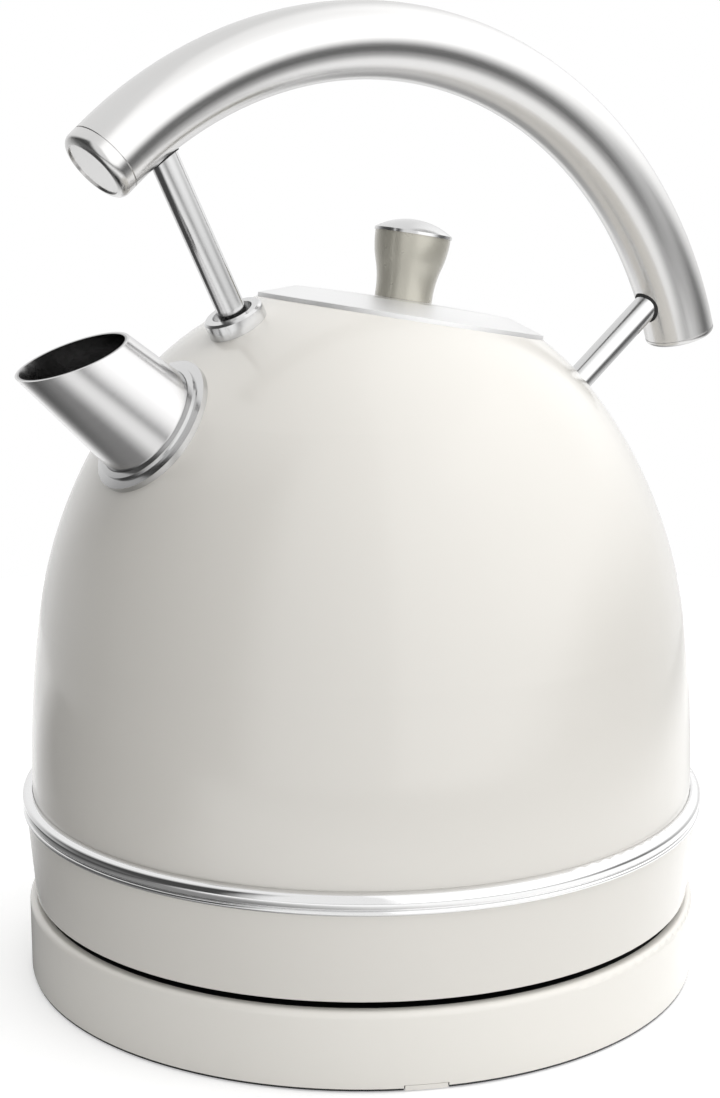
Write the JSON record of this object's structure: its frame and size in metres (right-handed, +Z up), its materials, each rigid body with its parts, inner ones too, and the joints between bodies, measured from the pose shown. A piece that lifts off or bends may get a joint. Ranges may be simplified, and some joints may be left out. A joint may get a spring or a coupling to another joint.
{
  "type": "electric kettle",
  "caption": "Dome-shaped electric kettle with tapered spout, arched tube handle, leaning lift-off lid and rear switch, on a round power base that it turns on and lifts from.",
  "frame": {"origin": "centre of the power base, in the plane its feet stand on", "axes": "+Z up; the spout points to -X; the low end of the handle and the switch are on the +X side"},
  "size_m": [0.2297, 0.193, 0.2681],
  "materials": {
    "cream_paint": "gloss enamel",
    "black_plastic": "fine grain",
    "foot_rubber": "matte",
    "screw_steel": "plain",
    "contact_brass": "plain",
    "glide_plastic": "smooth",
    "bright_trim": "polished",
    "vessel_steel": "satin",
    "seal_silicone": "matte",
    "aluminium": "machined",
    "brushed_steel": "brushed along its length",
    "knob_plastic": "satin",
    "liner_plastic": "smooth",
    "pilot_plastic": "clear gloss"
  },
  "bodies": {
    "base": {"base_band": "cream_paint", "base_deck": "black_plastic", "base_floor": "black_plastic", "base_feet": "foot_rubber", "base_screws": "screw_steel", "cord_gland": "black_plastic", "slot_blank": "cream_paint", "socket_housing": "black_plastic", "socket_contacts": "contact_brass"},
    "turntable": {"glide_ring": "glide_plastic"},
    "kettle": {"skirt": "cream_paint", "skirt_floor": "black_plastic", "floor_screws": "screw_steel", "trim_ring": "bright_trim", "dome_shell": "cream_paint", "vessel_floor": "vessel_steel", "vessel_seal": "seal_silicone", "diffuser_plate": "aluminium", "heating_element": "vessel_steel", "control_housing": "black_plastic", "snap_discs": "vessel_steel", "plug_contacts": "contact_brass", "steam_tube": "vessel_steel", "steam_disc": "vessel_steel", "switch_bracket": "black_plastic", "switch_pin": "screw_steel", "pilot_lens": "pilot_plastic", "spout": "brushed_steel", "spout_flange": "bright_trim", "spout_strainer": "vessel_steel", "handle_tube": "brushed_steel", "handle_front_cap": "brushed_steel", "handle_rear_cap": "brushed_steel", "handle_inserts": "aluminium", "rod_gaskets": "foot_rubber", "front_rod": "bright_trim", "rear_rod": "bright_trim", "front_collar": "bright_trim", "rear_collar": "bright_trim", "rod_washers": "screw_steel", "rod_nuts": "screw_steel"},
    "lid": {"lid_cover": "bright_trim", "lid_liner": "liner_plastic", "lid_seal": "seal_silicone", "knob": "knob_plastic", "knob_cap": "bright_trim", "knob_screw": "screw_steel"},
    "switch": {"switch_lever": "black_plastic"}
  },
  "joints": [
    {"name": "kettle_swivel", "type": "hinge", "parent": "base", "child": "turntable", "pos_m": [0, 0, 0.0199], "axis": [0, 0, 1], "continuous": true},
    {"name": "kettle_lift", "type": "slide", "parent": "turntable", "child": "kettle", "axis": [0, 0, 1], "range_m": [0, 0.1]},
    {"name": "lid_lift", "type": "slide", "parent": "kettle", "child": "lid", "axis": [0.184, 0, 0.9829], "range_m": [0, 0.028]},
    {"name": "switch_rock", "type": "hinge", "parent": "kettle", "child": "switch", "pos_m": [0.08407, 0, 0.0362], "axis": [0, 1, 0], "range_deg": [0, 16]}
  ]
}
